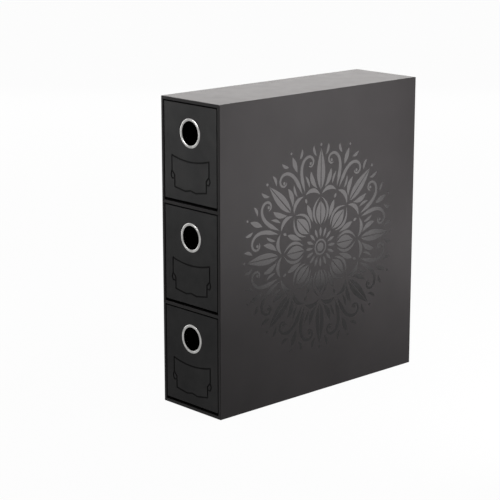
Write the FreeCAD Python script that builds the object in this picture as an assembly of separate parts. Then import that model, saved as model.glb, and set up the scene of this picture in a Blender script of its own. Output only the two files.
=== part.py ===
"""Storage case for trading cards in the format of an office ring binder.

A paper-covered greyboard case stands upright on its base. Two shelves divide it into three bays,
one above the other, and each bay holds a drawer that slides out towards the front. A drawer is an
open tray of paper-covered boards with a face board glued to its front. A plated steel ring,
clinched through the face and the tray's front wall, is the finger pull, and a label frame is
pressed into the face below it.

Frame: millimetres, +Z up, the front towards -Y, the origin at the middle of the case's base.
"""

import math
import os

import FreeCAD
import Part

Vector = FreeCAD.Vector

# ---------------------------------------------------------------- driving dimensions, millimetres

# The case, outside
case_width = 87.0
case_depth = 284.0
case_height = 320.0
case_board = 2.7  # greyboard of the five outer walls
shelf_board = 2.7  # greyboard of the shelves
paper = 0.3  # covering or lining paper with its glue and lamination
paper_bend_radius = 2 * paper  # the paper's outer radius where it goes round a square board edge
bay_turn_in = 12.0  # how far the paper turned into a bay runs before the lining starts
base_lap = 15.0  # how far the covering paper is folded under the case

# The drawers, named from the top bay down
drawer_names = ["top", "middle", "bottom"]
shelf_names = ["upper", "lower"]
face_board = 3.0  # covered board of a drawer's face
face_recess = 0.3  # the face lies this far behind the case's front edge
face_gap_side = 1.2
face_gap_above = 1.3
face_gap_below = 2.9
face_edge_radius = 0.3
tray_board = 2.0  # greyboard of a tray's floor and walls
tray_gap_side = 1.4
tray_gap_above = 2.0
tray_gap_rear = 0.5
rim_turn_in = 8.0  # how far the covering paper is folded down inside the tray's rim

# The finger ring
ring_below_face_top = 28.5  # from the face's top edge to the ring's axis
ring_bore_radius = 12.2
ring_bead_width = 2.8  # the raised flange that lies on the face
ring_bead_height = 0.7
ring_bead_shoulder = 0.5  # how far the sloped shoulders reach in from the flange's two edges
ring_sheet = 0.4  # wall of the barrel that passes through the boards
ring_play = 0.1  # between the barrel and the hole that it passes through
ring_clinch = 1.6  # how far the barrel's rear end is rolled out over the lining

# The label frame that is pressed into the face, measured from its own centre
label_below_face_top = 70.9  # from the face's top edge to the label frame's centre
label_half_width = 27.8
label_tip_height = 17.5  # the two pointed top corners
label_top_sag = 4.0  # how far the top line hangs between them
label_fold_height = 2.0  # where each side line turns inwards
label_fold_drop = 4.6
label_fold_inset = 4.1
label_ear_reach = 1.5  # the folded corner that stands out at each side
label_ear_drop = 8.0
label_foot_height = -14.4  # the two bottom corners
label_low_point_across = 8.0  # the bottom line dips to two low points beside the middle
label_low_point_height = -16.9
label_middle_height = -15.3  # and rises between them
label_line_width = 1.7
label_line_depth = 0.6

overrun = 1.0  # how far a cutting block reaches past the surface that it opens

# ---------------------------------------------------------------- box-shaped rooms


class Room:
    """A box-shaped space held by its limits along x, y and z. Boards and papers are cut from rooms."""

    def __init__(self, x, y, z):
        self.x, self.y, self.z = x, y, z

    def inset(self, sides=0.0, front=0.0, rear=0.0, below=0.0, above=0.0):
        """The room that is left when each wall moves inwards."""
        return Room(
            (self.x[0] + sides, self.x[1] - sides),
            (self.y[0] + front, self.y[1] - rear),
            (self.z[0] + below, self.z[1] - above),
        )

    def span(self, x=None, y=None, z=None):
        """The same room with other limits along the axes that are given."""
        return Room(x or self.x, y or self.y, z or self.z)

    def solid(self):
        """A plain box that fills the room."""
        return Part.makeBox(
            self.x[1] - self.x[0],
            self.y[1] - self.y[0],
            self.z[1] - self.z[0],
            Vector(self.x[0], self.y[0], self.z[0]),
        )


def edges_in_plane(solid, axis, value):
    """The solid's edges that lie in one plane, such as the one where z has the given value."""

    def lies_in_plane(edge):
        ends = [getattr(vertex.Point, axis) for vertex in edge.Vertexes]
        return all(math.isclose(end, value, abs_tol=1e-6) for end in ends)

    return [edge for edge in solid.Edges if lies_in_plane(edge)]


def cut_away(solid, *tools):
    """The solid with every tool taken away, as one clean solid."""
    for tool in tools:
        solid = solid.cut(tool)
    return solid.removeSplitter().Solids[0]


def export(solid, node):
    """Writes one node's solid to its own STEP file."""
    solid.exportStep(f"parts/{node}.step")


# ---------------------------------------------------------------- the case

case = Room((-case_width / 2, case_width / 2), (-case_depth / 2, case_depth / 2), (0.0, case_height))
# The boards fill this room, and the covering paper is pulled round it.
case_core = case.inset(sides=paper, front=paper, rear=paper, below=paper, above=paper)
# The hollow between the boards, which the shelves divide.
case_hollow = case_core.inset(
    sides=case_board, rear=case_board, below=case_board, above=case_board
)
turn_in_end = case.y[0] + bay_turn_in

drawer_count = len(drawer_names)
hollow_height = case_hollow.z[1] - case_hollow.z[0]
bay_height = (hollow_height - (drawer_count - 1) * shelf_board) / drawer_count


def bay_between_boards(index):
    """The room between two boards that holds drawer number index, counted from the top."""
    ceiling = case_hollow.z[1] - index * (bay_height + shelf_board)
    return case_hollow.span(z=(ceiling - bay_height, ceiling))


def lined_bay(index):
    """The clear room inside the lining of a bay."""
    return bay_between_boards(index).inset(sides=paper, rear=paper, below=paper, above=paper)


def make_case_boards():
    """The five outer boards. The side boards run from edge to edge, and the others stand between."""
    between = case_core.span(x=case_hollow.x)
    rooms = {
        "case_left_board": case_core.span(x=(case_core.x[0], case_hollow.x[0])),
        "case_right_board": case_core.span(x=(case_hollow.x[1], case_core.x[1])),
        "case_top_board": between.span(z=(case_hollow.z[1], case_core.z[1])),
        "case_bottom_board": between.span(z=(case_core.z[0], case_hollow.z[0])),
        "case_back_board": case_hollow.span(y=(case_hollow.y[1], case_core.y[1])),
    }
    return {node: room.solid() for node, room in rooms.items()}


def shelf_room(index):
    """The room of the shelf under drawer number index."""
    floor = bay_between_boards(index).z[0]
    return case_hollow.span(z=(floor - shelf_board, floor))


def make_shelf_edging(index):
    """The paper strip that is folded round a shelf's front edge."""
    shelf = shelf_room(index)
    strip = shelf.span(y=(case.y[0], turn_in_end)).inset(sides=paper, below=-paper, above=-paper)
    block = strip.solid()
    front_edges = edges_in_plane(block, "y", case.y[0])
    long_edges = [edge for edge in front_edges if edge.BoundBox.XLength > shelf_board]
    return cut_away(block.makeFillet(paper_bend_radius, long_edges), shelf.solid())


def make_base_sheet():
    """The sheet that closes the underside, level with the covering paper folded round it."""
    return case.inset(sides=base_lap, front=base_lap, rear=base_lap).span(z=(0.0, paper)).solid()


def make_case_wrap(boards, shelves, base_sheet):
    """The covering paper: round the outside, over the front edges and a little way into the bays."""
    mouth = case_hollow.inset(sides=paper, below=paper, above=paper)
    block = case.solid().cut(mouth.span(y=(case.y[0] - overrun, turn_in_end)).solid())
    ends = edges_in_plane(block, "y", case.y[0]) + edges_in_plane(block, "y", case.y[1])
    long_edges = [edge for edge in block.Edges if edge.BoundBox.YLength > case_depth / 2]
    return cut_away(
        block.makeFillet(paper_bend_radius, ends + long_edges),
        case_hollow.span(y=(turn_in_end, case_hollow.y[1])).solid(),
        *boards,
        *shelves,
        base_sheet,
    )


def make_bay_lining(index):
    """The lining paper on a bay's floor, ceiling, sides and back, behind the turned-in paper."""
    lined = bay_between_boards(index).span(y=(turn_in_end, case_hollow.y[1]))
    clear = lined_bay(index).span(y=(turn_in_end - paper, case_hollow.y[1] - paper))
    return cut_away(lined.solid(), clear.solid())


# ---------------------------------------------------------------- a drawer


def face_room(bay):
    """The room of a drawer's face board, inset in the bay's mouth."""
    front = case.y[0] + face_recess
    gaps = bay.inset(sides=face_gap_side, below=face_gap_below, above=face_gap_above)
    return gaps.span(y=(front, front + face_board))


def tray_room(bay):
    """The room of the covered tray, from the back of the face to near the back of the bay."""
    tray = bay.inset(sides=tray_gap_side, rear=tray_gap_rear, above=tray_gap_above)
    return tray.span(y=(face_room(bay).y[1], tray.y[1]))


def tray_core_room(tray):
    """The room that the tray's boards fill, inside its covering paper."""
    return tray.inset(sides=paper, front=paper, rear=paper, below=paper, above=paper)


def tray_hollow_room(core):
    """The hollow between the tray's boards, open at the rim."""
    return core.inset(sides=tray_board, front=tray_board, rear=tray_board, below=tray_board)


def ring_axis_height(face):
    """The height of the finger ring's axis, which is measured down from the face's top edge."""
    return face.z[1] - ring_below_face_top


def lining_front(tray):
    """Where the lining of the tray's front wall faces the cards, along y."""
    return tray_hollow_room(tray_core_room(tray)).y[0] + paper


def finger_hole(face, tray):
    """The hole that the ring's barrel passes through, from the face to inside the tray."""
    start, end = face.y[0] - overrun, lining_front(tray) + overrun
    radius = ring_bore_radius + ring_sheet + ring_play
    centre = Vector(0, start, ring_axis_height(face))
    return Part.makeCylinder(radius, end - start, centre, Vector(0, 1, 0))


def label_outline(side):
    """Half of the label frame's outline on one side, from the top line's middle to the bottom's."""

    def at(across, height):
        return Vector(side * across, 0, height)

    half = label_half_width
    inner = half - label_fold_inset
    fold_end = label_fold_height - label_fold_drop
    top_middle = at(0, label_tip_height - label_top_sag)
    tip = at(half, label_tip_height)
    # The hanging top line is one arc over both halves, so a quarter of its sag is left at mid-half.
    top_quarter = at(half / 2, label_tip_height - label_top_sag * 3 / 4)
    fold = at(half, label_fold_height)
    inner_top = at(inner, fold_end)
    foot = at(inner, label_foot_height)
    low_point = at(label_low_point_across, label_low_point_height)
    bottom_middle = at(0, label_middle_height)
    return [
        Part.Arc(top_middle, top_quarter, tip).toShape(),
        Part.LineSegment(tip, fold).toShape(),
        Part.LineSegment(fold, inner_top).toShape(),
        Part.LineSegment(inner_top, foot).toShape(),
        Part.LineSegment(foot, low_point).toShape(),
        Part.LineSegment(low_point, bottom_middle).toShape(),
    ]


def label_ear(side):
    """The small folded corner that stands out from one side of the label frame."""
    half = label_half_width
    inner = half - label_fold_inset
    low = label_fold_height - label_ear_drop
    corners = [
        (half, label_fold_height),
        (half + label_ear_reach, label_fold_height - label_fold_drop),
        (half, low),
        (inner, low),
        (inner, label_fold_height - label_fold_drop),
    ]
    points = [Vector(side * across, 0, height) for across, height in corners]
    return Part.Wire(Part.makePolygon(points + points[:1]))


def pressed_line(wire):
    """The solid that a closed line of the label frame takes out of the face, with rounded turns."""
    outer = Part.Face(wire.makeOffset2D(label_line_width / 2))
    inner = Part.Face(wire.makeOffset2D(-label_line_width / 2))
    return outer.cut(inner).extrude(Vector(0, label_line_depth, 0))


def label_grooves(face):
    """The pressed lines of the label frame, in place on a drawer's face."""
    outline = Part.Wire(Part.sortEdges(label_outline(1) + label_outline(-1))[0])
    place = Vector(0, face.y[0], face.z[1] - label_below_face_top)
    grooves = [pressed_line(wire) for wire in (outline, label_ear(1), label_ear(-1))]
    for groove in grooves:
        groove.translate(place)
    return grooves


def make_face(face, tray):
    """The covered face board with its finger hole and the label frame pressed into its front."""
    board = face.solid()
    board = board.makeFillet(face_edge_radius, edges_in_plane(board, "y", face.y[0]))
    return cut_away(board, finger_hole(face, tray), *label_grooves(face))


def make_tray_boards(face, tray):
    """The floor and the four walls of the tray. The front wall has the finger hole."""
    core = tray_core_room(tray)
    hollow = tray_hollow_room(core)
    between = core.span(x=hollow.x)
    rooms = {
        "left_board": core.span(x=(core.x[0], hollow.x[0])),
        "right_board": core.span(x=(hollow.x[1], core.x[1])),
        "front_board": between.span(y=(core.y[0], hollow.y[0])),
        "rear_board": between.span(y=(hollow.y[1], core.y[1])),
        "floor_board": hollow.span(z=(core.z[0], hollow.z[0])),
    }
    boards = {name: room.solid() for name, room in rooms.items()}
    boards["front_board"] = cut_away(boards["front_board"], finger_hole(face, tray))
    return boards


def make_tray_wrap(face, tray, boards):
    """The covering paper of the tray: all round the outside and down inside the rim."""
    hollow = tray_hollow_room(tray_core_room(tray))
    fold_end = tray.z[1] - rim_turn_in
    mouth = hollow.inset(sides=paper, front=paper, rear=paper)
    block = tray.solid().cut(mouth.span(z=(fold_end, tray.z[1] + overrun)).solid())
    level_edges = edges_in_plane(block, "z", tray.z[0]) + edges_in_plane(block, "z", tray.z[1])
    return cut_away(
        block.makeFillet(paper_bend_radius, level_edges),
        hollow.span(z=(hollow.z[0], fold_end)).solid(),
        finger_hole(face, tray),
        *boards,
    )


def make_tray_lining(face, tray):
    """The lining paper on the tray's floor and walls, up to the paper folded over the rim."""
    hollow = tray_hollow_room(tray_core_room(tray))
    lined = hollow.span(z=(hollow.z[0], tray.z[1] - rim_turn_in))
    clear = lined.inset(sides=paper, front=paper, rear=paper, below=paper, above=-overrun)
    return cut_away(lined.solid(), clear.solid(), finger_hole(face, tray))


def ring_section(face, tray):
    """Half of the ring in section, as (radius, y) corners, from the flange's outer edge round."""
    bore, barrel = ring_bore_radius, ring_bore_radius + ring_sheet
    flange_edge, clinched_edge = bore + ring_bead_width, barrel + ring_clinch
    front, crown, rear = face.y[0], face.y[0] - ring_bead_height, lining_front(tray)
    end = rear + ring_sheet
    return [
        (flange_edge, front),
        (flange_edge - ring_bead_shoulder, crown),
        (bore + ring_bead_shoulder, crown),
        (bore, crown + ring_bead_shoulder),
        (bore, end),
        (clinched_edge - ring_sheet, end),
        (clinched_edge, rear),
        (barrel, rear),
        (barrel, front),
    ]


def make_finger_ring(face, tray):
    """The plated ring: a raised flange on the face, a barrel, and a rear end clinched outwards."""
    points = [Vector(radius, y, 0) for radius, y in ring_section(face, tray)]
    section = Part.Face(Part.makePolygon(points + points[:1]))
    ring = section.revolve(Vector(0, 0, 0), Vector(0, 1, 0), 360)
    return ring.translated(Vector(0, 0, ring_axis_height(face)))


def make_drawer(index, name):
    """Every node of one drawer, in place in its closed bay."""
    bay = lined_bay(index)
    face, tray = face_room(bay), tray_room(bay)
    boards = make_tray_boards(face, tray)
    nodes = {f"{name}_drawer_{board}": solid for board, solid in boards.items()}
    nodes[f"{name}_drawer_face"] = make_face(face, tray)
    nodes[f"{name}_drawer_wrap"] = make_tray_wrap(face, tray, boards.values())
    nodes[f"{name}_drawer_lining"] = make_tray_lining(face, tray)
    nodes[f"{name}_finger_ring"] = make_finger_ring(face, tray)
    return nodes


# ---------------------------------------------------------------- the whole part


def make_case():
    """Every node of the case."""
    nodes = make_case_boards()
    boards = list(nodes.values())
    shelves = {}
    for index, name in enumerate(shelf_names):
        shelves[f"{name}_shelf"] = shelf_room(index).solid()
        nodes[f"{name}_shelf_edging"] = make_shelf_edging(index)
    nodes["base_sheet"] = make_base_sheet()
    nodes["case_wrap"] = make_case_wrap(boards, shelves.values(), nodes["base_sheet"])
    for index, name in enumerate(drawer_names):
        nodes[f"{name}_bay_lining"] = make_bay_lining(index)
    nodes.update(shelves)
    return nodes


def main():
    os.makedirs("parts", exist_ok=True)
    nodes = make_case()
    for index, name in enumerate(drawer_names):
        nodes.update(make_drawer(index, name))
    for node, solid in nodes.items():
        export(solid, node)
    print(f"{len(nodes)} nodes written")


main()
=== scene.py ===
# %% [markdown]
# # A storage case for trading cards, with three drawers
#
# The case has the format of a lever arch file. It is made of greyboard, covered outside with a
# matte laminated black paper and lined inside with plain black paper. Three drawers slide out of
# its narrow front, each with a plated finger ring and a label frame pressed into its face. One
# broad side carries a rosette in clear gloss varnish.
#
# Every board, paper and ring already exists as a solid, measured in millimetres. This lesson
# dresses those solids. It gives each one a finish made of shader nodes, and makes new meshes only
# where the solid is plainer than the real thing, for the rolled finger rings and the varnish.

# %% Load the solids
import math

import bmesh
import bpy
from mathutils import Matrix, Vector


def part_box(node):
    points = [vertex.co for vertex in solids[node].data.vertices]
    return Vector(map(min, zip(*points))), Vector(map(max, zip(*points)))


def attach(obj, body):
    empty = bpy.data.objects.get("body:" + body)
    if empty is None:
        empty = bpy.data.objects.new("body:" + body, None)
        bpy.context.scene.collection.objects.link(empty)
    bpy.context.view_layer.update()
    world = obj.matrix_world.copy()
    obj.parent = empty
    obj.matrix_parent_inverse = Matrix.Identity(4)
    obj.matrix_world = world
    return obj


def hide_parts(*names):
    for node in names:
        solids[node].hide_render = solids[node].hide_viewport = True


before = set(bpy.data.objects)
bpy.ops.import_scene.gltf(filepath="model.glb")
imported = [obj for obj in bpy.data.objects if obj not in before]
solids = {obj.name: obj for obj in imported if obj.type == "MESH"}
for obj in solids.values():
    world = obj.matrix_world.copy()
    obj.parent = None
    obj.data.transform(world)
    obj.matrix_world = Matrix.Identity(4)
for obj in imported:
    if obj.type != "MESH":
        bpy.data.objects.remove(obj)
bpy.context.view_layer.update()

MM = 0.001
DRAWERS = ["top", "middle", "bottom"]

case_low, case_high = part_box("case_wrap")
case_middle = (case_low + case_high) / 2
print("case, mm:", [round(side / MM, 1) for side in case_high - case_low])

# %% [markdown]
# ## A sheet of notes for every finish
#
# Each finish below starts from one Principled shader and adds a few texture nodes to it. They read
# object coordinates, which are metres on these solids, so a texture that repeats every 2 mm does
# so on every piece, whatever its size. Generated coordinates were the other choice, but they
# stretch with each piece's box, and a long board and a short one would then show different paper.

# %% One shader and its nodes


class Ground:
    """A material under construction: one Principled shader, and the nodes that feed it."""

    def __init__(self, name, colour, roughness, specular=0.5, metallic=0.0):
        self.material = bpy.data.materials.new(name)
        self.material.use_nodes = True
        self.tree = self.material.node_tree
        self.shader = self.tree.nodes["Principled BSDF"]
        self.shader.inputs["Base Color"].default_value = (*colour, 1.0)
        self.shader.inputs["Roughness"].default_value = roughness
        self.shader.inputs["Specular IOR Level"].default_value = specular
        self.shader.inputs["Metallic"].default_value = metallic
        self.place = self.add("ShaderNodeTexCoord").outputs["Object"]
        self.colour = None
        self.relief = None

    def add(self, kind, **settings):
        """A node of that kind. A setting is one of its properties."""
        node = self.tree.nodes.new(kind)
        for key, value in settings.items():
            setattr(node, key, value)
        return node

    def join(self, output, entry):
        self.tree.links.new(output, entry)

    def tint(self, colour):
        self.colour = colour
        self.join(colour, self.shader.inputs["Base Color"])

    def depth(self):
        """How far back a point lies: Y, which runs from the front of the case to its rear."""
        axes = self.add("ShaderNodeSeparateXYZ")
        self.join(self.place, axes.inputs["Vector"])
        return axes.outputs["Y"]

    def stretched(self, scale):
        """Object coordinates scaled by a different amount along each axis."""
        mapping = self.add("ShaderNodeMapping")
        mapping.inputs["Scale"].default_value = scale
        self.join(self.place, mapping.inputs["Vector"])
        return mapping.outputs["Vector"]


print("a finish reads object coordinates, in metres")

# %% [markdown]
# ## Clouds, tones and relief
#
# No real surface is even. Paper, board and plating all differ from a flat colour in the same few
# ways: clouds of another tone, a roughness that wanders, and relief. Each is one small step here,
# and a finish puts together the steps that it needs. One large node group with a slider for
# everything would do it too, but then every finish would carry nodes that it doesn't use.
#
# A noise texture runs from 0 to 1 but seldom leaves its middle, so most steps use only that part
# of it.

# %% The steps that a finish is made of
MOST_OF_NOISE = (0.3, 0.7)


def repeats(size):
    """How many texture cells of that size in millimetres fit in a metre."""
    return 1.0 / (size * MM)


class Finish(Ground):
    """A material whose colour, roughness and relief are made uneven by textures."""

    def noise(self, size, detail=2.0, place=None, roughness=0.5):
        """A cloudy texture whose clouds are about that many millimetres across."""
        node = self.add("ShaderNodeTexNoise")
        node.inputs["Scale"].default_value = repeats(size)
        node.inputs["Detail"].default_value = detail
        node.inputs["Roughness"].default_value = roughness
        self.join(place or self.place, node.inputs["Vector"])
        return node.outputs["Fac"]

    def spread(self, value, span, to_span):
        """The value moved from one range to another, and kept inside it."""
        node = self.add("ShaderNodeMapRange")
        entries = ("From Min", "From Max", "To Min", "To Max")
        for entry, number in zip(entries, (*span, *to_span)):
            node.inputs[entry].default_value = number
        self.join(value, node.inputs["Value"])
        return node.outputs["Result"]

    def blend(self, value, dark, light, span=MOST_OF_NOISE):
        """A colour between two, chosen by where the value lies in its span."""
        ramp = self.add("ShaderNodeValToRGB")
        for stop, position, colour in zip(ramp.color_ramp.elements, span, (dark, light)):
            stop.position = position
            stop.color = (*colour, 1.0)
        self.join(value, ramp.inputs["Fac"])
        return ramp.outputs["Color"]

    def dim(self, colour, share):
        """The colour with only a share of its light left."""
        node = self.add("ShaderNodeVectorMath", operation="SCALE")
        self.join(colour, node.inputs[0])
        self.join(share, node.inputs["Scale"])
        return node.outputs["Vector"]

    def roughen(self, noise, smoothest, roughest):
        """Lets a noise move the roughness between two values."""
        roughness = self.spread(noise, MOST_OF_NOISE, (smoothest, roughest))
        self.join(roughness, self.shader.inputs["Roughness"])

    def emboss(self, height, depth):
        """Adds relief of that depth in millimetres on top of the relief already there."""
        bump = self.add("ShaderNodeBump")
        bump.inputs["Distance"].default_value = depth * MM
        bump.inputs["Strength"].default_value = 1.0
        self.join(height, bump.inputs["Height"])
        if self.relief:
            self.join(self.relief, bump.inputs["Normal"])
        self.relief = bump.outputs["Normal"]
        self.join(self.relief, self.shader.inputs["Normal"])


print("a texture of 2 mm repeats", round(repeats(2)), "times in a metre")

# %% [markdown]
# ## Covering paper
#
# The case is wrapped in paper that was printed black and laminated with a matte film. The film is
# dull when it is seen square on, and shines at a low angle, as on the lid of the case. So the
# colour is nearly black, and the look comes from a middling roughness with a slightly warm cast.
# Two reliefs break up the shine: the board under the paper is never quite flat, and the film has a
# fine grain. A picture of a scanned film would repeat on so large a side, so noise does it here.

# %% The matte film
FILM_DARK = (0.0075, 0.0067, 0.0069)
FILM_LIGHT = (0.0108, 0.0097, 0.0100)
FILM_SPECULAR = 0.118
WAVE_SIZE = 85  # millimetres across, the slow waves of the board
WAVE_DEPTH = 0.12

covering = Finish("covering_paper_matte_film", FILM_LIGHT, roughness=0.42, specular=FILM_SPECULAR)
covering.tint(covering.blend(covering.noise(size=60, detail=3), FILM_DARK, FILM_LIGHT))
handling = covering.noise(size=14, detail=4, place=covering.stretched((1.0, 1.0, 0.45)))
covering.roughen(handling, 0.408, 0.436)
covering.emboss(covering.noise(size=WAVE_SIZE, detail=1), depth=WAVE_DEPTH)
covering.emboss(covering.noise(size=0.45, detail=2), depth=0.006)
print("made", covering.material.name)

# %% [markdown]
# ## Face paper
#
# The three drawer faces are covered with an uncoated black paper. It scatters the light and hardly
# mirrors the table in front of the case, so the faces stay darker than the edges round them.
#
# The label frame is pressed into each face with a hot die, and the paper on the edges is turned
# round the board and glued down hard. Both lie behind the flat front, and both are darkened in the
# colour as painted shade, for the shade in the pressed grooves and in the gap round each face. The
# depth along Y picks them out. All three fronts share one plane, so one depth serves them all, and
# no mask has to be drawn.

# %% The uncoated face paper
FACE_DARK = (0.0263, 0.0263, 0.0266)
FACE_LIGHT = (0.0341, 0.0338, 0.0338)
# Painted shade: the colour is darkened in the pressed lines and on the turned edges in the gap.
PAINTED_GROOVE_SHADE = 0.20  # what is left of the colour in the pressed lines
PAINTED_SHADE_REACH = (0.01, 0.20)  # millimetres behind the flat front, over which the colour fades

flat_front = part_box("top_drawer_face")[0].y
facing = Finish("face_paper_uncoated", FACE_LIGHT, roughness=0.62, specular=0.05)
face_colour = facing.blend(facing.noise(size=25, detail=4), FACE_DARK, FACE_LIGHT)
behind_front = [flat_front + distance * MM for distance in PAINTED_SHADE_REACH]
# The painted shade of the grooves and of the gap, by depth behind the flat front.
painted_shade_share = facing.spread(facing.depth(), behind_front, (1.0, PAINTED_GROOVE_SHADE))
facing.tint(facing.dim(face_colour, painted_shade_share))
facing.roughen(facing.noise(size=8), 0.56, 0.68)
facing.emboss(facing.noise(size=0.8, detail=4, roughness=0.7), depth=0.02)
print("made", facing.material.name, f"for faces at y = {flat_front / MM:.1f} mm")

# %% [markdown]
# ## Lining paper
#
# Inside, both the bays and the trays are lined with plain black paper. Its long fibres lie mostly
# one way. Separate hairs would cost many faces for something so fine, so the noise is stretched
# along the case instead. Cards rub the paper, so its roughness is high and even.

# %% The lining paper
LINING_DARK = (0.0090, 0.0090, 0.0094)
LINING_LIGHT = (0.0150, 0.0148, 0.0150)


def plain_paper(name, dark, light, specular, grain):
    """Uncoated black paper with fibres that run along the case. The grain is their relief in mm."""
    sheet = Finish(name, light, roughness=0.85, specular=specular)
    along_case = sheet.stretched((1.0, 0.12, 1.0))
    fibres = sheet.noise(size=0.5, detail=4, place=along_case, roughness=0.65)
    sheet.tint(sheet.blend(fibres, dark, light, span=(0.35, 0.65)))
    sheet.roughen(sheet.noise(size=20), 0.78, 0.92)
    sheet.emboss(fibres, depth=grain)
    return sheet


lining = plain_paper("lining_paper_plain", LINING_DARK, LINING_LIGHT, specular=0.2, grain=0.03)
print("made", lining.material.name)

# %% [markdown]
# ## Tray paper
#
# The outside of a tray is seen only when its drawer is pulled out. It is covered with a smoother,
# dull black paper. Its front wall is hidden behind the face, apart from a strip at the bottom of
# the gap. That strip is deep in shadow, so a painted shadow darkens the paper's colour towards the
# front wall, and its shine fades there too. A finish of its own for that wall would need a seam at
# the tray's corner, and the depth along Y needs none.

# %% The tray paper
TRAY_DARK = (0.0060, 0.0060, 0.0062)
TRAY_LIGHT = (0.0095, 0.0094, 0.0095)
TRAY_SPECULAR = 0.08
# Painted shadow: the colour is darkened on the front wall, in the shade under the face.
PAINTED_WALL_SHADOW = 0.3  # what is left of the colour on the front wall
PAINTED_WALL_REACH = (0.2, 1.5)  # millimetres behind the wall, over which the colour comes back

front_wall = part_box("top_drawer_wrap")[0].y
tray_paper = plain_paper("tray_paper_dull", TRAY_DARK, TRAY_LIGHT, TRAY_SPECULAR, grain=0.015)
behind_wall = [front_wall + distance * MM for distance in PAINTED_WALL_REACH]
tray_depth = tray_paper.depth()
# The painted shadow, fading out behind the front wall.
painted_wall_shadow = tray_paper.spread(tray_depth, behind_wall, (PAINTED_WALL_SHADOW, 1.0))
tray_paper.tint(tray_paper.dim(tray_paper.colour, painted_wall_shadow))
shine = tray_paper.spread(tray_depth, behind_wall, (0.0, TRAY_SPECULAR))
tray_paper.join(shine, tray_paper.shader.inputs["Specular IOR Level"])
print("made", tray_paper.material.name)

# %% [markdown]
# ## Greyboard
#
# The boards are hidden once the case is covered, yet a part can be opened up or cut through, so
# they get their own finish. Greyboard is pressed from waste paper: warm grey, quite rough, with
# small dark and pale flecks of old print and fibre. More noise would only make more clouds, and
# flecks have edges, so a Voronoi texture gives them.

# %% The greyboard
BOARD_GREY = (0.290, 0.265, 0.230)
BOARD_PALE = (0.380, 0.355, 0.315)
FLECK_SIZE = 1.6
FLECK_REACH = 0.10  # how much of its cell a fleck takes up
FLECK_SHADE = 0.35

board = Finish("greyboard_recycled", BOARD_GREY, roughness=0.93, specular=0.25)
pulp = board.blend(board.noise(size=3, detail=5, roughness=0.7), BOARD_GREY, BOARD_PALE)
cells = board.add("ShaderNodeTexVoronoi")
cells.inputs["Scale"].default_value = repeats(FLECK_SIZE)
board.join(board.place, cells.inputs["Vector"])
flecks = board.spread(cells.outputs["Distance"], (0.0, FLECK_REACH), (FLECK_SHADE, 1.0))
board.tint(board.dim(pulp, flecks))
board.roughen(board.noise(size=2), 0.88, 0.98)
board.emboss(board.noise(size=0.6, detail=4), depth=0.05)
print("made", board.material.name)

# %% [markdown]
# ## Plated steel
#
# The finger rings are pressed from sheet steel and nickel plated. Polishing on a wheel leaves fine
# rings round the axis. Each ring below is built round its own origin, so the distance from the
# axis is the length of the (x, z) part of its object coordinates, and noise on that distance alone
# draws the scratches without any picture.

# %% The nickel plating
NICKEL_DARK = (0.24, 0.238, 0.233)
NICKEL_BRIGHT = (0.41, 0.405, 0.396)
SCRATCH_SIZE = 0.08

nickel = Finish("plated_steel_nickel", NICKEL_BRIGHT, roughness=0.22, metallic=1.0)
flattened = nickel.add("ShaderNodeVectorMath", operation="MULTIPLY")
flattened.inputs[1].default_value = (1.0, 0.0, 1.0)
nickel.join(nickel.place, flattened.inputs[0])
from_axis = nickel.add("ShaderNodeVectorMath", operation="LENGTH")
nickel.join(flattened.outputs["Vector"], from_axis.inputs[0])
polish = nickel.add("ShaderNodeTexNoise", noise_dimensions="1D")
polish.inputs["Scale"].default_value = repeats(SCRATCH_SIZE)
polish.inputs["Detail"].default_value = 2.0
nickel.join(from_axis.outputs["Value"], polish.inputs["W"])
tarnish = nickel.noise(size=5, detail=3)
nickel.tint(nickel.blend(tarnish, NICKEL_DARK, NICKEL_BRIGHT, span=(0.2, 0.6)))
nickel.roughen(polish.outputs["Fac"], 0.16, 0.28)
nickel.emboss(polish.outputs["Fac"], depth=0.004)
print("made", nickel.material.name)

# %% [markdown]
# ## Dress the solids
#
# A solid's name ends with what it is, so one table from endings to finishes dresses all of them.
# Writing the finish into the material slot leaves the solid's mesh alone. Its own smooth shading
# is kept as well.

# %% One finish per kind of piece
FINISH_BY_ENDING = {
    "_board": board,
    "_shelf": board,
    "_drawer_wrap": tray_paper,
    "case_wrap": covering,
    "_edging": covering,
    "base_sheet": covering,
    "_lining": lining,
    "_face": facing,
    "_ring": nickel,
}

for name, solid in solids.items():
    ending = next(end for end in FINISH_BY_ENDING if name.endswith(end))
    solid.data.materials.clear()
    solid.data.materials.append(FINISH_BY_ENDING[ending].material)
print("dressed", len(solids), "solids")

# %% [markdown]
# ## Finger rings
#
# A finger ring is one pressing: a domed flange in front, a barrel through the boards, and a rear
# end that is rolled outwards over the lining to clamp everything. It is turned work, so it is made
# as on a lathe: half of its section is drawn once, with arcs for the dome and the roll, and swept
# round the axis. A torus would have been quicker, but it has neither the flat back of the flange
# nor the barrel.

# %% Arcs and a lathe
RING_STEPS = 120


def arc(centre, radii, start, end, steps):
    """Points on an arc in the section plane, from one angle to another in degrees."""
    across, along = radii
    angles = [math.radians(start + (end - start) * step / steps) for step in range(steps + 1)]
    return [(centre[0] + across * math.cos(a), centre[1] + along * math.sin(a)) for a in angles]


def turned_mesh(name, section):
    """The closed section, as (distance from the axis, y) points, swept round the Y axis."""
    count = len(section)
    points, faces = [], []
    for step in range(RING_STEPS):
        angle = 2 * math.pi * step / RING_STEPS
        points += [(r * math.cos(angle), y, r * math.sin(angle)) for r, y in section]
        here = step * count
        following = (step + 1) % RING_STEPS * count
        for corner in range(count):
            beside = (corner + 1) % count
            faces.append((here + corner, here + beside, following + beside, following + corner))
    mesh = bpy.data.meshes.new(name)
    mesh.from_pydata(points, [], faces)
    mesh.validate()
    return mesh


print("a ring is turned in", RING_STEPS, "steps")

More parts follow.
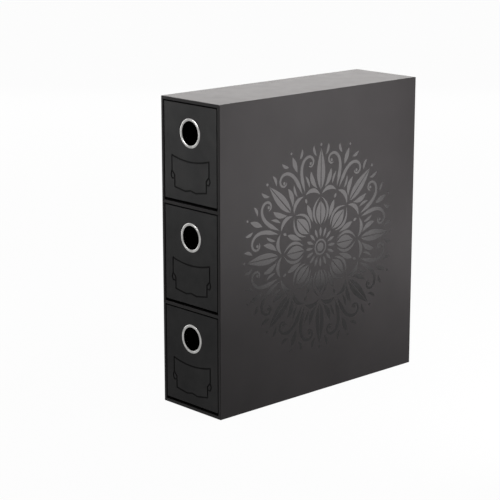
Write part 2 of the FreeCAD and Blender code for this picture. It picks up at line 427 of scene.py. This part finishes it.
# %% [markdown]
# ## The ring's section
#
# The sheet of a real ring is equally thick all along, from the dome to the rolled lip. Here the
# dome is filled, because its hollow side lies on the face and is never seen. The section is worked
# out from the bore and from where the face and the lining lie, so a ring of another size would
# still clamp its boards. Points picked by eye would have to be picked again for each size.

# %% Half of the ring's section
RING_SHEET = 0.4  # millimetres, the pressed sheet
BEAD_WIDTH = 2.8
CLINCH_BEND = 0.5  # outer radius of the bend at the rear
CLINCH_REACH = 1.6


def ring_section(bore, crown, rear):
    """Half of the section in millimetres. y is 0 on the drawer's face and grows to the rear."""
    barrel = bore + RING_SHEET
    bend = (bore + CLINCH_BEND, rear - CLINCH_BEND)
    lip = (barrel + CLINCH_REACH - RING_SHEET / 2, rear - RING_SHEET / 2)
    inner_bend = CLINCH_BEND - RING_SHEET
    dome = arc((bore + BEAD_WIDTH / 2, 0.0), (BEAD_WIDTH / 2, crown), 0, -180, 16)
    rolled_out = arc(bend, (CLINCH_BEND, CLINCH_BEND), 180, 90, 5)
    lip_edge = arc(lip, (RING_SHEET / 2, RING_SHEET / 2), 90, -90, 4)
    rolled_in = arc(bend, (inner_bend, inner_bend), 90, 180, 3)
    return dome + rolled_out + lip_edge + rolled_in + [(barrel, 0.0)]


print("the section of a ring with a bore of 12 mm has", len(ring_section(12, 1, 6)), "points")

# %% [markdown]
# ## New pieces for the case
#
# A new piece needs what a solid got with its import: faces that all point outwards, edges that
# stay crisp where the real one is creased, a body to move with, and a material slot. Bevels would
# draw the creases too, but on sheet this thin they would take more faces than the piece itself.

# %% Clean meshes and pieces that ride along
WELD_DISTANCE = 0.001  # millimetres
CREASE = 35  # degrees between two faces


def finish_mesh(mesh):
    """Points every face outwards, and keeps edges sharper than the crease angle crisp."""
    edit = bmesh.new()
    edit.from_mesh(mesh)
    bmesh.ops.remove_doubles(edit, verts=edit.verts, dist=WELD_DISTANCE * MM)
    bmesh.ops.recalc_face_normals(edit, faces=edit.faces)
    edit.to_mesh(mesh)
    edit.free()
    mesh.polygons.foreach_set("use_smooth", [True] * len(mesh.polygons))
    mesh.set_sharp_from_angle(angle=math.radians(CREASE))


def put(name, data):
    """A new object in the scene that holds a mesh, a lamp or a camera."""
    holder = bpy.data.objects.new(name, data)
    bpy.context.scene.collection.objects.link(holder)
    return holder


def place_piece(name, mesh, place, body, finish):
    """A new piece at that place, which rides on a body and takes its finish from a slot."""
    piece = put(name, mesh)
    piece.location = place
    mesh.materials.append(finish.material)
    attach(piece, body)
    return piece


print("creases over", CREASE, "degrees stay crisp")

# %% [markdown]
# ## The three rings
#
# The three drawers have the same ring, each at its own height. The plain solids already give the
# place, the outer radius and the depth of each one, so these are read from their boxes. Each
# turned ring rides on its drawer and takes the plain solid's place.

# %% Turn the three rings
for drawer in DRAWERS:
    solid_name = f"{drawer}_finger_ring"
    ring_low, ring_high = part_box(solid_name)
    face_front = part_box(f"{drawer}_drawer_face")[0].y
    outer_radius = (ring_high.x - ring_low.x) / 2 / MM
    section = ring_section(
        bore=outer_radius - BEAD_WIDTH,
        crown=(face_front - ring_low.y) / MM,
        rear=(ring_high.y - face_front) / MM,
    )
    ring_mesh = turned_mesh(f"{drawer}_ring_rolled", section)
    ring_mesh.transform(Matrix.Scale(MM, 4))
    finish_mesh(ring_mesh)
    axis = (ring_low + ring_high) / 2
    place = (axis.x, face_front, axis.z)
    body = f"{drawer}_drawer"
    ring = place_piece(f"{drawer}_ring_rolled", ring_mesh, place, body, nickel)
    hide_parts(solid_name)
    print(f"{ring.name}: radius {outer_radius:.1f} mm, {len(ring_mesh.polygons)} faces")

# %% [markdown]
# ## The rosette in gloss varnish
#
# Clear varnish is printed over the matte film on one broad side, through a screen. It is a layer
# of a few hundredths of a millimetre whose top mirrors the room, so it reads as a pale figure in
# the light and vanishes in the shade. The figure is a traditional rosette with eight points:
# petals and leaves with veins, and a pair of scrolls between each two leaves.
#
# A mask in a material could draw it, but the edge of the varnish is a real step. So each stroke is
# a strip with two edges, and the strips become thin solids. A leaf is the first kind of strip: two
# curves that swell and meet in a point. A veined leaf is drawn as two halves with a slit between.

# %% Leaves, as strips between two edges
STROKE_STEPS = 16
LEAF_FULLNESS = 0.9  # below 1 the leaf is fuller towards its ends
VEIN_TAPER = 0.6  # how much of its width the vein loses towards the tip


def polar(radius, turn):
    """A point by its distance from the centre and its turn in degrees, clockwise from the top."""
    angle = math.radians(turn)
    return Vector((radius * math.sin(angle), radius * math.cos(angle)))


def leaf(root, tip, bow, width, fullest=0.5, vein=0.0):
    """A pointed leaf on a bowed midline. With a vein, only its left half, clear of the midline."""
    chord = tip - root
    left_of_chord = Vector((-chord.y, chord.x)).normalized()
    control = (root + tip) / 2 + left_of_chord * bow * 2
    power = math.log(0.5) / math.log(fullest)
    left, right = [], []
    for step in range(STROKE_STEPS + 1):
        t = step / STROKE_STEPS
        point = root * (1 - t) ** 2 + control * 2 * t * (1 - t) + tip * t * t
        ahead = (control - root) * (1 - t) + (tip - control) * t
        aside = Vector((-ahead.y, ahead.x)).normalized()
        half = width / 2 * max(math.sin(math.pi * t**power), 0.0) ** LEAF_FULLNESS
        inner = min(half, vein * (1 - VEIN_TAPER * t)) if vein else -half
        left.append(point + aside * half)
        right.append(point + aside * inner)
    return left, right


print("a leaf has", 2 * (STROKE_STEPS + 1), "points round its outline")

# %% [markdown]
# ## Scrolls, spots and a hoop
#
# A scroll is drawn as the pen of a decorator moves: a short stride, a small turn, and a tighter
# turn each time. Its eye lies in the middle of the last turn. An exact spiral was the other
# choice, but its curl can't start as a nearly straight stem. Spots and the hoop are strips as
# well, so that one way of making solids serves all of them.

# %% Scrolls, spots and hoops
SCROLL_STEPS = 52
ROUND_STEPS = 96
SCROLL_ROOT_GROWTH = 5  # how fast the stroke widens at its root
SCROLL_END_GROWTH = 12  # and at its end,
SCROLL_END_WIDTH = 0.35  # where it stays blunt


def scroll(root, heading, length, turn, curl, width, end_width):
    """A stroke that turns ever more tightly. Returns its strip and the middle of its last turn."""
    point, left, right = Vector(root), [], []
    stride = length / SCROLL_STEPS
    for step in range(SCROLL_STEPS + 1):
        t = step / SCROLL_STEPS
        angle = math.radians(heading + turn * t + curl * t**3)
        ahead = Vector((math.cos(angle), math.sin(angle)))
        aside = Vector((-ahead.y, ahead.x))
        near_end = SCROLL_END_GROWTH * (1 - t) + SCROLL_END_WIDTH
        swell = min(1.0, SCROLL_ROOT_GROWTH * t, near_end)
        half = (width * (1 - t) + end_width * t) / 2 * swell
        left.append(point + aside * half)
        right.append(point - aside * half)
        point = point + ahead * stride
    last_radius = length / math.radians(turn + 3 * curl)
    return (left, right), left[-1].lerp(right[-1], 0.5) + aside * last_radius


def spot(centre, radius):
    """A round spot, as a strip from its top to its bottom."""
    angles = [math.pi * step / STROKE_STEPS for step in range(STROKE_STEPS + 1)]
    left = [centre + Vector((-math.sin(a), math.cos(a))) * radius for a in angles]
    right = [centre + Vector((math.sin(a), math.cos(a))) * radius for a in angles]
    return left, right


def hoop(inner, outer):
    """A round band about the centre."""
    turns = [360 * step / ROUND_STEPS for step in range(ROUND_STEPS + 1)]
    return [polar(inner, turn) for turn in turns], [polar(outer, turn) for turn in turns]


print("a scroll takes", SCROLL_STEPS, "strides")

# %% [markdown]
# ## A layer that collects the strips
#
# The screen prints the whole figure in one go, so all strips end up in one mesh, as islands of the
# same thickness. Each strip gets a top, a bottom and walls, which makes it a closed solid. A
# Solidify modifier on flat strips could do the same, but here the thickness takes only a second
# row of points.

# %% The layer of varnish
SAME_POINT = 1e-6  # two points closer than this, in millimetres, are one


class Varnish:
    """Islands of the same thickness on the plane of a side."""

    def __init__(self, fold, middle, height, sink):
        self.points, self.faces = [], []
        self.fold, self.middle = fold, middle
        self.levels = (height, -sink)

    def island(self, left, right):
        """One strip as a closed solid. A strip that comes back to its start has no end walls."""
        first = len(self.points)
        for edge_points in zip(left, right):
            for level in self.levels:
                for flat in edge_points:
                    self.points.append(self.middle + Vector((level, flat.x, flat.y)) * MM)
        last = len(self.points) - 4
        for top_left in range(first, last, 4):
            top_right, low_left, low_right = range(top_left + 1, top_left + 4)
            for one, other in (
                (top_left, top_right),
                (low_right, low_left),
                (low_left, top_left),
                (top_right, low_right),
            ):
                self.faces.append((one, other, other + 4, one + 4))
        if (left[0] - left[-1]).length > SAME_POINT:
            for end in (first, last):
                self.faces.append((end, end + 1, end + 3, end + 2))

    def lay(self, strip, start=0.0, mirrored=True, fold=None):
        """Lays the strip once for each point of the rosette, and its mirror image beside it."""
        fold = fold or self.fold
        for index in range(fold):
            turn = Matrix.Rotation(-math.radians(start + 360 * index / fold), 2)
            for side in (1, -1) if mirrored else (1,):
                flip = Matrix(((side, 0), (0, 1)))
                self.island(*([turn @ (flip @ point) for point in edge] for edge in strip))


POINTS = 8
HALF_STEP = 180 / POINTS
VARNISH_HEIGHT = 0.04  # millimetres above the film
VARNISH_SINK = 0.02
ROSETTE_SHIFT = Vector((0.0, -1.5, -3.5))  # from the side's middle

side_middle = Vector((case_high.x, case_middle.y, case_middle.z))
rosette_middle = side_middle + ROSETTE_SHIFT * MM
rosette = Varnish(POINTS, rosette_middle, VARNISH_HEIGHT, VARNISH_SINK)
print("the rosette's middle is", round(rosette_middle.z / MM, 1), "mm above the table")

# %% [markdown]
# ## The rosette's flower
#
# Only one sixteenth is drawn. The rest comes by mirroring and turning, as when such a figure is
# set out with compasses, so the numbers here are the drawing itself: distances from the centre and
# widths in millimetres, and turns in degrees. A picture of a rosette would have fixed it to one
# size, and this drawing can still be changed leaf by leaf.

# %% Draw the flower
# The boss and its small petals.
rosette.lay(spot(polar(0, 0), 4.6), mirrored=False, fold=1)
rosette.lay(hoop(6.8, 8.6), mirrored=False, fold=1)
rosette.lay(leaf(polar(10.8, 0), polar(21.5, 0), 0, 3.2, 0.55), mirrored=False, fold=2 * POINTS)

# Eight veined petals with a sepal on each side, and darts between them.
rosette.lay(leaf(polar(23.5, 0), polar(49, 0), 0, 14, 0.5, vein=0.8))
rosette.lay(leaf(polar(25, 10.5), polar(53.5, 0.9), -7.4, 3.2, 0.45))
rosette.lay(leaf(polar(29, 0), polar(51.5, 0), 0, 5.6, 0.62), HALF_STEP, mirrored=False)
rosette.lay(leaf(polar(53, 0), polar(58.5, 0), 0, 3.0), HALF_STEP, mirrored=False)
print(len(rosette.faces), "faces after the flower")

# %% [markdown]
# ## The rosette's wreath
#
# Round the flower runs a garland, and on it stand eight long leaves with their side leaves.
# Between them a pair of scrolls rolls outwards, each round an eye, under a bud.

# %% Draw the wreath
# The garland round the petals.
rosette.lay(leaf(polar(56, 1.4), polar(62, HALF_STEP - 1.2), 4.6, 4.6))

# The eight long leaves with their side leaves.
rosette.lay(leaf(polar(61, 0), polar(104, 0), 0, 12, 0.42, vein=0.8))
rosette.lay(leaf(polar(63, 4.8), polar(83, 10.2), -2.2, 5.6, 0.55))
rosette.lay(leaf(polar(67, 14.4), polar(81, 16.2), 1.0, 3.0))
rosette.lay(leaf(polar(97, 3.9), polar(109, 5.6), -1.6, 3.4))
rosette.lay(spot(polar(108, 0), 1.5), mirrored=False)

# A pair of scrolls between two long leaves, each round an eye, under a bud.
scroll_strip, eye = scroll((2.0, 65.0), 86, 62, -10, -330, 5.2, 1.8)
rosette.lay(scroll_strip, HALF_STEP)
rosette.lay(spot(eye, 1.6), HALF_STEP)
rosette.lay(leaf(polar(90, 0), polar(108, 0), 0, 5.6), HALF_STEP, mirrored=False)
rosette.lay(leaf(polar(101, 4.6), polar(110, 8.0), -1.4, 3.4), HALF_STEP)
rosette.lay(spot(polar(112, 0), 1.3), HALF_STEP, mirrored=False)
print(len(rosette.faces), "faces in the whole rosette")

# %% [markdown]
# ## The varnish's finish
#
# Varnish over black is black with a mirror on top: the same dark ground as the film, and a low
# roughness. A coat on the film's own finish would come close, but the varnish hides the film's
# grain, so it has a finish of its own. It follows the board's slow waves, as the film does, and
# screen printing leaves a faint orange peel about a millimetre across.

# %% Print the rosette
INK_DARK = (0.0022, 0.0020, 0.0021)
INK_LIGHT = (0.0034, 0.0031, 0.0032)

gloss = Finish("spot_varnish_gloss", INK_LIGHT, roughness=0.16, specular=0.23)
gloss.tint(gloss.blend(gloss.noise(size=40, detail=2), INK_DARK, INK_LIGHT))
gloss.roughen(gloss.noise(size=6, detail=3), 0.13, 0.19)
gloss.emboss(gloss.noise(size=WAVE_SIZE, detail=1), depth=WAVE_DEPTH)
gloss.emboss(gloss.noise(size=1.3, detail=1), depth=0.004)

rosette_mesh = bpy.data.meshes.new("side_varnish_rosette")
rosette_mesh.from_pydata(rosette.points, [], rosette.faces)
finish_mesh(rosette_mesh)
place_piece("side_varnish_rosette", rosette_mesh, (0, 0, 0), "case", gloss)
print(f"rosette: {len(rosette_mesh.polygons)} faces, {VARNISH_HEIGHT} mm thick")

# %% [markdown]
# ## White where it is seen
#
# The case is shown on white. More light would turn a pale table white, but it would wash out the
# case as well. The Light Path node tells one kind of ray from another, so it can pick plain white
# for what the camera, mirrors and glass see, and leave the surface as it is for the light that
# falls on the case.

# %% Pick white for the camera and for mirrors


def show_white(tree, lit, white, output, glow=1.0):
    """White to the camera, to mirrors and through glass, and the lit shader to all other rays.

    The glow is the share of white in what they see.
    """
    path = tree.nodes.new("ShaderNodeLightPath")
    seen = path.outputs["Is Camera Ray"]
    for kind in ("Is Glossy Ray", "Is Transmission Ray"):
        either = tree.nodes.new("ShaderNodeMath")
        either.operation = "MAXIMUM"
        tree.links.new(seen, either.inputs[0])
        tree.links.new(path.outputs[kind], either.inputs[1])
        seen = either.outputs["Value"]
    share = tree.nodes.new("ShaderNodeMath")
    share.operation = "MULTIPLY"
    share.inputs[1].default_value = glow
    tree.links.new(seen, share.inputs[0])
    mixed = tree.nodes.new("ShaderNodeMixShader")
    tree.links.new(share.outputs["Value"], mixed.inputs["Fac"])
    tree.links.new(lit, mixed.inputs[1])
    tree.links.new(white, mixed.inputs[2])
    tree.links.new(mixed.outputs["Shader"], output)


print("white will be picked by the kind of ray")

# %% [markdown]
# ## Table
#
# The case stands on a wide pale table. It isn't wholly white to the camera: a little of the
# table's own surface is mixed in, and that carries a faint shadow of the case. A shadow catcher was
# the other choice, but it needs a clear background, and a second step to put the white back.

# %% The table
TABLE_SIZE = 40.0
TABLE_COLOUR = (0.60, 0.60, 0.60)
TABLE_GLOW = 0.965  # how much of what the camera sees there is plain white

half = TABLE_SIZE / 2
corners = [(-half, -half, 0), (half, -half, 0), (half, half, 0), (-half, half, 0)]
table_mesh = bpy.data.meshes.new("table")
table_mesh.from_pydata(corners, [], [(0, 1, 2, 3)])
table = put("table", table_mesh)

pale = Finish("table_pale", TABLE_COLOUR, roughness=0.9, specular=0.2)
plain_white = pale.add("ShaderNodeEmission").outputs["Emission"]
table_surface = pale.tree.nodes["Material Output"].inputs["Surface"]
show_white(pale.tree, pale.shader.outputs["BSDF"], plain_white, table_surface, TABLE_GLOW)
table_mesh.materials.append(pale.material)
print("table:", TABLE_SIZE, "m square")

# %% [markdown]
# ## World
#
# Behind the table is a plain white backdrop, and round the case the soft grey light of a bright
# room. The world gives both, in the same way as the table: white where it is seen, and a grey sky
# where it lights the case. A backdrop made of a mesh would have to stand all round the case, to be
# white from every side.

# %% The world
SKY_STRENGTH = 0.41
WHITE = (1.0, 1.0, 1.0)

world = bpy.data.worlds.new("soft_room")
bpy.context.scene.world = world
world.use_nodes = True
sky = world.node_tree.nodes["Background"]
backdrop = world.node_tree.nodes.new("ShaderNodeBackground")
for background, strength in ((sky, SKY_STRENGTH), (backdrop, 1.0)):
    background.inputs["Color"].default_value = (*WHITE, 1.0)
    background.inputs["Strength"].default_value = strength
show_white(
    world.node_tree,
    sky.outputs["Background"],
    backdrop.outputs["Background"],
    world.node_tree.nodes["World Output"].inputs["Surface"],
)
print("sky strength", SKY_STRENGTH)

# %% [markdown]
# ## Soft panels
#
# Black things are lit by what they mirror, so the lamps are soft panels placed where the camera
# would see them in a mirror. None of them is seen directly. Sun lamps would leave only small
# glints on black, and panels give broad soft ones. A panel's power is worked out from how bright
# it looks, so that its size can be changed without touching anything else.

# %% A lamp for soft light


def soft_panel(name, place, size, radiance, colour=WHITE, aim=None, spread=180):
    """A rectangular lamp that the camera doesn't see. Radiance 1 looks as white as the backdrop.

    Without an aim it faces the printed side squarely. A spread below 180 degrees acts as a grid,
    which gathers the same power in a narrower beam.
    """
    width, height = size
    lamp = bpy.data.lights.new(name, "AREA")
    lamp.shape = "RECTANGLE"
    lamp.size, lamp.size_y = width, height
    lamp.energy = radiance * math.pi * width * height
    lamp.color = colour
    lamp.spread = math.radians(spread)
    panel = put(name, lamp)
    target = aim or (0.0, *place[1:])
    panel.location = place
    panel.rotation_mode = "QUATERNION"
    panel.rotation_quaternion = (Vector(target) - Vector(place)).to_track_quat("-Z", "Y")
    panel.visible_camera = False
    print(f"{name}: {width} x {height} m, {lamp.energy:.2f} W")


print("a panel of 1 x 1 m that looks white needs", round(math.pi, 2), "W")

# %% [markdown]
# ## Lamps
#
# The panels beside the printed side form one tall panel in bands. Its low edge is a hand's breadth
# above the table in the mirror image, and decides how far down the varnish shines. A small panel
# low beside the rear stands outside that image, so it is left to the film's broader shine and
# doesn't reach the varnish. The panel low behind the case lights the lid, which is seen at a low
# angle. In front, a lamp with a grid lights the upper faces more than the lower ones, and a panel
# on the left brightens the case's edges. One large panel on each side was tried first, and it
# washed out the varnish's fading foot.
#
# No two panels overlap, because the one in front would hide the other from the mirrors.

# %% The lamps
BESIDE_TINT = (1.0, 0.955, 0.965)
BEHIND_TINT = (1.0, 0.96, 0.945)
GRID_SPREAD = 36  # degrees
# What the panels are aimed at, in metres.
SIDE_LOW_REAR = (0.0, 0.40, 0.05)
LID = (0.0, 0.0, 0.32)
TOP_FACE = (0.0, -0.142, 0.31)
FACES = (0.0, -0.142, 0.20)

soft_panel("beside_low", (0.363, 0.32, 0.03), (0.24, 0.05), 3.15, BESIDE_TINT)
soft_panel("beside_low_rear", (0.20, 0.50, 0.03), (0.20, 0.06), 9.0, BESIDE_TINT, SIDE_LOW_REAR)
soft_panel("beside_middle", (0.363, 0.20, 0.125), (0.48, 0.14), 6.2, BESIDE_TINT)
soft_panel("beside_high", (0.38, 0.315, 0.37), (0.27, 0.30), 9.0, BESIDE_TINT)
soft_panel("beside_high_front", (0.38, 0.045, 0.37), (0.27, 0.30), 3.4, BESIDE_TINT)
soft_panel("behind_low", (-1.5, 1.4, 0.70), (2.2, 1.0), 2.52, BEHIND_TINT, LID)
soft_panel("front_grid", (-0.15, -0.60, 0.50), (0.3, 0.2), 0.68, WHITE, TOP_FACE, GRID_SPREAD)
soft_panel("left", (-0.60, -0.25, 0.30), (0.3, 0.5), 2.1, WHITE, FACES)

# %% [markdown]
# ## Camera
#
# A long lens from nearly two metres keeps the upright edges almost parallel. The camera is placed
# by where it stands round the case, and then slid along its own axes, so that the case sits where
# it should in a square picture and the lens needs no shift. A tracking constraint would be quicker
# to set up, but it always keeps its target in the middle of the picture.

# %% The camera
CAMERA_AZIMUTH = 46.922
CAMERA_ELEVATION = 13.819
CAMERA_DISTANCE = 1.79722
SLIDE_RIGHT = -0.044488
SLIDE_UP = -0.014559
LENS = 122.40
SENSOR = 36.0

azimuth, elevation = math.radians(CAMERA_AZIMUTH), math.radians(CAMERA_ELEVATION)
backwards = Vector(
    (
        math.sin(azimuth) * math.cos(elevation),
        -math.cos(azimuth) * math.cos(elevation),
        math.sin(elevation),
    )
)
right = Vector((math.cos(azimuth), math.sin(azimuth), 0.0))
up = backwards.cross(right)
aim = Vector((0.0, 0.0, case_middle.z))

lens = bpy.data.cameras.new("camera")
lens.lens, lens.sensor_width = LENS, SENSOR
lens.clip_start, lens.clip_end = 0.05, 100.0
camera = put("camera", lens)
camera.location = aim + backwards * CAMERA_DISTANCE + right * SLIDE_RIGHT + up * SLIDE_UP
camera.rotation_mode = "QUATERNION"
camera.rotation_quaternion = Matrix((right, up, backwards)).transposed().to_quaternion()
bpy.context.scene.camera = camera
bpy.context.scene.view_settings.view_transform = "Standard"
print("camera at", [round(value, 3) for value in camera.location])
